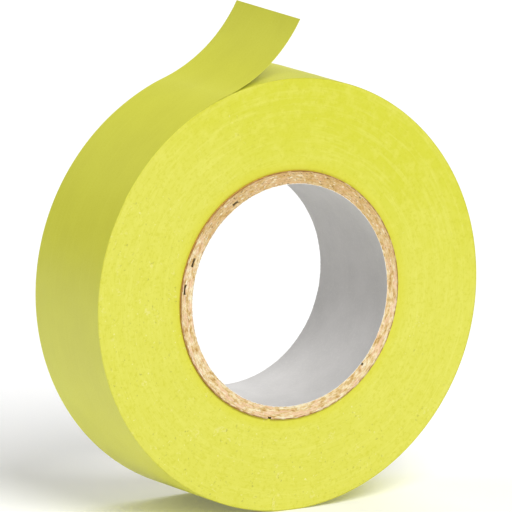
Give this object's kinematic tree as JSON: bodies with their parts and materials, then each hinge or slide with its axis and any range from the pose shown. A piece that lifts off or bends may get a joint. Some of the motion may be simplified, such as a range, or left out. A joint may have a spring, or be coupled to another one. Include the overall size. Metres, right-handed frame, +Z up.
{
  "type": "flagging tape roll",
  "caption": "Roll of bright yellow-green marking tape on a chipboard core, standing on its rim, with the free end lifted off the top and curling up.",
  "frame": {"origin": "centre of the core's bore, halfway along it", "axes": "+Y along the bore, from the front face to the back face; +Z up, with the roll standing on its rim and the free end at the top"},
  "size_m": [0.1035, 0.031, 0.1175],
  "materials": {
    "tape": "satin",
    "chipboard": "matte",
    "liner": "matte"
  },
  "bodies": {
    "roll": {"core_liner": "liner", "core_ply_1": "chipboard", "core_ply_2": "chipboard", "core_ply_3": "chipboard", "core_ply_4": "chipboard", "core_ply_5": "chipboard", "tape_windings": "tape", "tape_outer_turn": "tape"},
    "tail_1": {"tape_tail_1": "tape"},
    "tail_2": {"tape_tail_2": "tape"},
    "tail_3": {"tape_tail_3": "tape"},
    "tail_4": {"tape_tail_4": "tape"},
    "tail_5": {"tape_tail_5": "tape"},
    "tail_6": {"tape_tail_6": "tape"}
  },
  "joints": [
    {"name": "tail_peel", "type": "hinge", "parent": "roll", "child": "tail_1", "pos_m": [-0.01687, 0, 0.04901], "axis": [0, -1, 0], "range_deg": [-3, 60], "stiffness_Nm_per_rad": 0.00006, "springref_deg": 6.42},
    {"name": "tail_bend_1", "type": "hinge", "parent": "tail_1", "child": "tail_2", "pos_m": [-0.01277, 0, 0.05071], "axis": [0, -1, 0], "range_deg": [-12.6, 20], "stiffness_Nm_per_rad": 0.00006, "springref_deg": 1.78},
    {"name": "tail_bend_2", "type": "hinge", "parent": "tail_2", "child": "tail_3", "pos_m": [-0.0089, 0, 0.0529], "axis": [0, -1, 0], "range_deg": [-12.6, 20], "stiffness_Nm_per_rad": 0.00006, "springref_deg": 1.78},
    {"name": "tail_bend_3", "type": "hinge", "parent": "tail_3", "child": "tail_4", "pos_m": [-0.00533, 0, 0.05556], "axis": [0, -1, 0], "range_deg": [-12.6, 20], "stiffness_Nm_per_rad": 0.00006, "springref_deg": 1.78},
    {"name": "tail_bend_4", "type": "hinge", "parent": "tail_4", "child": "tail_5", "pos_m": [-0.00211, 0, 0.05863], "axis": [0, -1, 0], "range_deg": [-12.6, 20], "stiffness_Nm_per_rad": 0.00006, "springref_deg": 1.78},
    {"name": "tail_bend_5", "type": "hinge", "parent": "tail_5", "child": "tail_6", "pos_m": [0.00071, 0, 0.06207], "axis": [0, -1, 0], "range_deg": [-12.6, 20], "stiffness_Nm_per_rad": 0.00006, "springref_deg": 1.78}
  ],
  "couplings": [
    {"joint": "tail_bend_2", "follows": "tail_bend_1", "ratio": 1},
    {"joint": "tail_bend_3", "follows": "tail_bend_1", "ratio": 1},
    {"joint": "tail_bend_4", "follows": "tail_bend_1", "ratio": 1},
    {"joint": "tail_bend_5", "follows": "tail_bend_1", "ratio": 1}
  ]
}
